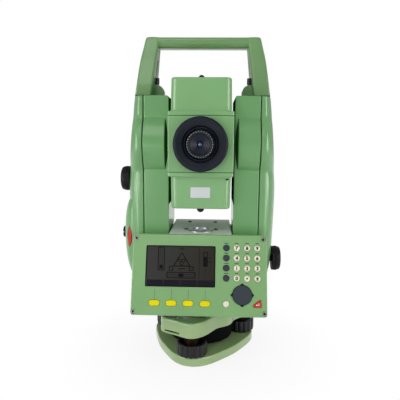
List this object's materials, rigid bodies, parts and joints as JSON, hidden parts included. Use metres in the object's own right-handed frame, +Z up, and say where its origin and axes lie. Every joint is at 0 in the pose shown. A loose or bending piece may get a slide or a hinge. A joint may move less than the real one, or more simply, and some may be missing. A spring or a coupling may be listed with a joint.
{
  "type": "surveying total station",
  "caption": "Electronic theodolite and distance meter with keyboard, tilting telescope between two standards, carrying handle and levelling tribrach with foot screws.",
  "frame": {"origin": "on the vertical axis of the instrument, at the underside of the tribrach base plate", "axes": "+Z up along the vertical axis, -Y towards the person at the keyboard and eyepiece, +X to that person's right"},
  "size_m": [0.1852, 0.1775, 0.3564],
  "materials": {
    "instrument_green": "satin paint",
    "tribrach_green": "satin paint",
    "black_plastic": "matt",
    "axis_steel": "turned",
    "deck_grey": "satin",
    "optical_glass": "polished",
    "display_screen": "gloss",
    "battery_case": "matt",
    "red_plastic": "matt",
    "cream_rubber": "matt",
    "slate_rubber": "matt",
    "yellow_rubber": "matt"
  },
  "bodies": {
    "tribrach": {"tribrach_base_plate": "tribrach_green", "tribrach_centre_housing": "black_plastic", "tribrach_body": "tribrach_green", "tribrach_level": "axis_steel", "centring_flange": "axis_steel", "horizontal_circle": "optical_glass"},
    "alidade": {"alidade_frame": "instrument_green", "deck_plate": "deck_grey", "left_side_cover": "instrument_green", "right_side_cover": "instrument_green", "circular_level": "deck_grey", "keyboard_housing": "instrument_green", "keyboard_panel": "instrument_green", "display_module": "display_screen", "carrying_handle": "instrument_green", "battery": "battery_case"},
    "telescope": {"telescope_body": "instrument_green", "telescope_top_cover": "instrument_green", "telescope_bottom_cover": "instrument_green", "left_trunnion": "axis_steel", "right_trunnion": "axis_steel", "vertical_circle": "optical_glass", "objective_barrel": "black_plastic", "objective_lens": "optical_glass"},
    "foot_screw_front": {"foot_screw_front": "black_plastic"},
    "foot_screw_right": {"foot_screw_right": "black_plastic"},
    "foot_screw_left": {"foot_screw_left": "black_plastic"},
    "tribrach_lock_knob": {"tribrach_lock_knob": "black_plastic"},
    "handle_screw_left": {"handle_screw_left": "black_plastic"},
    "handle_screw_right": {"handle_screw_right": "black_plastic"},
    "battery_door": {"battery_door": "instrument_green"},
    "battery_latch": {"battery_latch": "red_plastic"},
    "battery_lock_knob": {"battery_lock_knob": "black_plastic"},
    "focus_ring": {"focus_ring": "black_plastic"},
    "eyepiece": {"eyepiece": "black_plastic"},
    "vertical_drive_knob": {"vertical_drive_knob": "black_plastic"},
    "horizontal_drive_knob": {"horizontal_drive_knob": "black_plastic"},
    "key_7": {"key_7": "cream_rubber"},
    "key_8": {"key_8": "cream_rubber"},
    "key_9": {"key_9": "cream_rubber"},
    "key_4": {"key_4": "cream_rubber"},
    "key_5": {"key_5": "cream_rubber"},
    "key_6": {"key_6": "cream_rubber"},
    "key_1": {"key_1": "cream_rubber"},
    "key_2": {"key_2": "cream_rubber"},
    "key_3": {"key_3": "cream_rubber"},
    "key_0": {"key_0": "cream_rubber"},
    "key_point": {"key_point": "cream_rubber"},
    "key_sign": {"key_sign": "cream_rubber"},
    "key_escape": {"key_escape": "cream_rubber"},
    "key_fixed_1": {"key_fixed_1": "slate_rubber"},
    "key_fixed_2": {"key_fixed_2": "slate_rubber"},
    "key_fixed_3": {"key_fixed_3": "slate_rubber"},
    "key_fixed_4": {"key_fixed_4": "slate_rubber"},
    "key_navigation": {"key_navigation": "slate_rubber"},
    "key_function_1": {"key_function_1": "yellow_rubber"},
    "key_function_2": {"key_function_2": "yellow_rubber"},
    "key_function_3": {"key_function_3": "yellow_rubber"},
    "key_function_4": {"key_function_4": "yellow_rubber"},
    "key_enter": {"key_enter": "red_plastic"}
  },
  "joints": [
    {"name": "alidade_turn", "type": "hinge", "parent": "tribrach", "child": "alidade", "pos_m": [0, 0, 0.1], "axis": [0, 0, 1], "continuous": true},
    {"name": "telescope_tilt", "type": "hinge", "parent": "alidade", "child": "telescope", "pos_m": [0, 0, 0.24], "axis": [1, 0, 0], "continuous": true},
    {"name": "focus_ring_turn", "type": "hinge", "parent": "telescope", "child": "focus_ring", "pos_m": [0, -0.0643, 0.24], "axis": [0, -1, 0], "range_deg": [-170, 170]},
    {"name": "eyepiece_turn", "type": "hinge", "parent": "telescope", "child": "eyepiece", "pos_m": [0, -0.0643, 0.24], "axis": [0, -1, 0], "range_deg": [-150, 150]},
    {"name": "vertical_drive_turn", "type": "hinge", "parent": "alidade", "child": "vertical_drive_knob", "pos_m": [-0.0829, 0, 0.1994], "axis": [1, 0, 0], "continuous": true},
    {"name": "horizontal_drive_turn", "type": "hinge", "parent": "alidade", "child": "horizontal_drive_knob", "pos_m": [0.0811, -0.01, 0.1094], "axis": [1, 0, 0], "continuous": true},
    {"name": "foot_screw_front_turn", "type": "hinge", "parent": "tribrach", "child": "foot_screw_front", "pos_m": [-0.00813, -0.05136, 0.0114], "axis": [0, 0, 1], "range_deg": [-1080, 1080]},
    {"name": "foot_screw_right_turn", "type": "hinge", "parent": "tribrach", "child": "foot_screw_right", "pos_m": [0.04855, 0.01864, 0.0114], "axis": [0, 0, 1], "range_deg": [-1080, 1080]},
    {"name": "foot_screw_left_turn", "type": "hinge", "parent": "tribrach", "child": "foot_screw_left", "pos_m": [-0.04041, 0.03272, 0.0114], "axis": [0, 0, 1], "range_deg": [-1080, 1080]},
    {"name": "tribrach_lock_turn", "type": "hinge", "parent": "tribrach", "child": "tribrach_lock_knob", "pos_m": [0.00738, 0.04662, 0.0395], "axis": [0.1564, 0.9877, 0], "range_deg": [0, 180]},
    {"name": "handle_screw_left_turn", "type": "hinge", "parent": "alidade", "child": "handle_screw_left", "pos_m": [-0.0521, 0, 0.3062], "axis": [0, 0, 1], "range_deg": [0, 1080]},
    {"name": "handle_screw_right_turn", "type": "hinge", "parent": "alidade", "child": "handle_screw_right", "pos_m": [0.0521, 0, 0.3062], "axis": [0, 0, 1], "range_deg": [0, 1080]},
    {"name": "battery_door_swing", "type": "hinge", "parent": "alidade", "child": "battery_door", "pos_m": [-0.0762, 0.0286, 0.135], "axis": [0, 0, -1], "range_deg": [0, 100]},
    {"name": "battery_latch_press", "type": "slide", "parent": "battery_door", "child": "battery_latch", "axis": [0.7431, 0.6691, 0], "range_m": [0, 0.0012], "stiffness_N_per_m": 300},
    {"name": "battery_lock_turn", "type": "hinge", "parent": "battery_door", "child": "battery_lock_knob", "pos_m": [-0.089, 0, 0.136], "axis": [-1, 0, 0], "range_deg": [0, 90]},
    {"name": "key_7_press", "type": "slide", "parent": "alidade", "child": "key_7", "axis": [0, 0.9483, -0.3173], "range_m": [0, 0.0008], "stiffness_N_per_m": 250},
    {"name": "key_8_press", "type": "slide", "parent": "alidade", "child": "key_8", "axis": [0, 0.9483, -0.3173], "range_m": [0, 0.0008], "stiffness_N_per_m": 250},
    {"name": "key_9_press", "type": "slide", "parent": "alidade", "child": "key_9", "axis": [0, 0.9483, -0.3173], "range_m": [0, 0.0008], "stiffness_N_per_m": 250},
    {"name": "key_4_press", "type": "slide", "parent": "alidade", "child": "key_4", "axis": [0, 0.9483, -0.3173], "range_m": [0, 0.0008], "stiffness_N_per_m": 250},
    {"name": "key_5_press", "type": "slide", "parent": "alidade", "child": "key_5", "axis": [0, 0.9483, -0.3173], "range_m": [0, 0.0008], "stiffness_N_per_m": 250},
    {"name": "key_6_press", "type": "slide", "parent": "alidade", "child": "key_6", "axis": [0, 0.9483, -0.3173], "range_m": [0, 0.0008], "stiffness_N_per_m": 250},
    {"name": "key_1_press", "type": "slide", "parent": "alidade", "child": "key_1", "axis": [0, 0.9483, -0.3173], "range_m": [0, 0.0008], "stiffness_N_per_m": 250},
    {"name": "key_2_press", "type": "slide", "parent": "alidade", "child": "key_2", "axis": [0, 0.9483, -0.3173], "range_m": [0, 0.0008], "stiffness_N_per_m": 250},
    {"name": "key_3_press", "type": "slide", "parent": "alidade", "child": "key_3", "axis": [0, 0.9483, -0.3173], "range_m": [0, 0.0008], "stiffness_N_per_m": 250},
    {"name": "key_0_press", "type": "slide", "parent": "alidade", "child": "key_0", "axis": [0, 0.9483, -0.3173], "range_m": [0, 0.0008], "stiffness_N_per_m": 250},
    {"name": "key_point_press", "type": "slide", "parent": "alidade", "child": "key_point", "axis": [0, 0.9483, -0.3173], "range_m": [0, 0.0008], "stiffness_N_per_m": 250},
    {"name": "key_sign_press", "type": "slide", "parent": "alidade", "child": "key_sign", "axis": [0, 0.9483, -0.3173], "range_m": [0, 0.0008], "stiffness_N_per_m": 250},
    {"name": "key_escape_press", "type": "slide", "parent": "alidade", "child": "key_escape", "axis": [0, 0.9483, -0.3173], "range_m": [0, 0.0008], "stiffness_N_per_m": 250},
    {"name": "key_fixed_1_press", "type": "slide", "parent": "alidade", "child": "key_fixed_1", "axis": [0, 0.9483, -0.3173], "range_m": [0, 0.0008], "stiffness_N_per_m": 250},
    {"name": "key_fixed_2_press", "type": "slide", "parent": "alidade", "child": "key_fixed_2", "axis": [0, 0.9483, -0.3173], "range_m": [0, 0.0008], "stiffness_N_per_m": 250},
    {"name": "key_fixed_3_press", "type": "slide", "parent": "alidade", "child": "key_fixed_3", "axis": [0, 0.9483, -0.3173], "range_m": [0, 0.0008], "stiffness_N_per_m": 250},
    {"name": "key_fixed_4_press", "type": "slide", "parent": "alidade", "child": "key_fixed_4", "axis": [0, 0.9483, -0.3173], "range_m": [0, 0.0008], "stiffness_N_per_m": 250},
    {"name": "key_navigation_press", "type": "slide", "parent": "alidade", "child": "key_navigation", "axis": [0, 0.9483, -0.3173], "range_m": [0, 0.0008], "stiffness_N_per_m": 250},
    {"name": "key_function_1_press", "type": "slide", "parent": "alidade", "child": "key_function_1", "axis": [0, 0.9483, -0.3173], "range_m": [0, 0.0008], "stiffness_N_per_m": 250},
    {"name": "key_function_2_press", "type": "slide", "parent": "alidade", "child": "key_function_2", "axis": [0, 0.9483, -0.3173], "range_m": [0, 0.0008], "stiffness_N_per_m": 250},
    {"name": "key_function_3_press", "type": "slide", "parent": "alidade", "child": "key_function_3", "axis": [0, 0.9483, -0.3173], "range_m": [0, 0.0008], "stiffness_N_per_m": 250},
    {"name": "key_function_4_press", "type": "slide", "parent": "alidade", "child": "key_function_4", "axis": [0, 0.9483, -0.3173], "range_m": [0, 0.0008], "stiffness_N_per_m": 250},
    {"name": "key_enter_press", "type": "slide", "parent": "alidade", "child": "key_enter", "axis": [0, 0.9483, -0.3173], "range_m": [0, 0.0008], "stiffness_N_per_m": 250}
  ],
  "couplings": [
    {"joint": "vertical_drive_turn", "follows": "telescope_tilt", "ratio": 12},
    {"joint": "horizontal_drive_turn", "follows": "alidade_turn", "ratio": 12}
  ]
}
